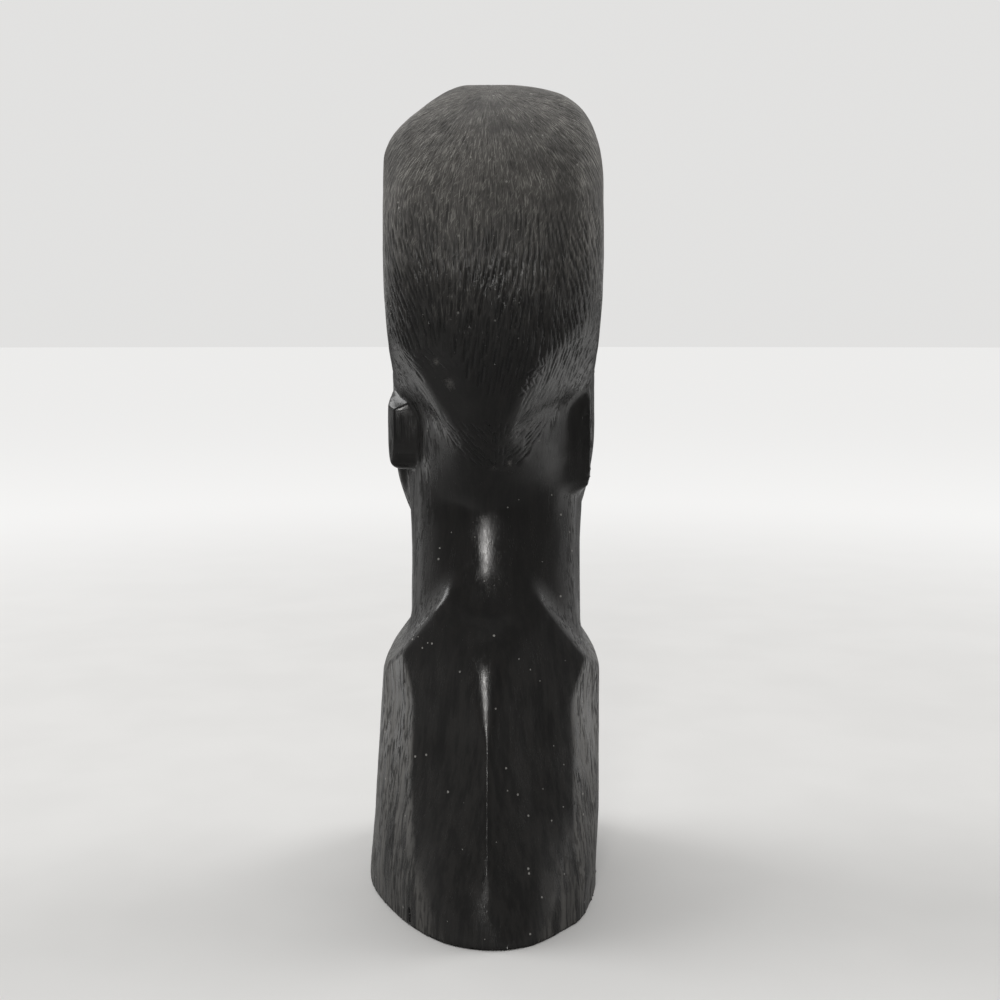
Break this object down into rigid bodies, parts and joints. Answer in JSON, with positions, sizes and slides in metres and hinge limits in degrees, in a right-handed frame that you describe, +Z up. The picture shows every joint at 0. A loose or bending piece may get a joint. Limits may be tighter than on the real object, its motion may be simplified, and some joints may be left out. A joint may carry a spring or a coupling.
{
  "type": "carved head sculpture",
  "caption": "Carved dark hardwood head on a long neck with cut-off shoulders, engraved hair and a calm face, standing on its flat base.",
  "frame": {"origin": "middle of the carving's bounding box at the level of its flat underside", "axes": "+Z up along the neck; the face looks along -Y and the back of the head faces +Y; +X is the carving's own left side"},
  "size_m": [0.0844, 0.136, 0.2799],
  "materials": {
    "ebony": "near-black hardwood, polished to a satin gloss on neck and shoulders, drier and greyer on the engraved hair"
  },
  "bodies": {
    "root": {"carved_head": "ebony"}
  },
  "joints": []
}
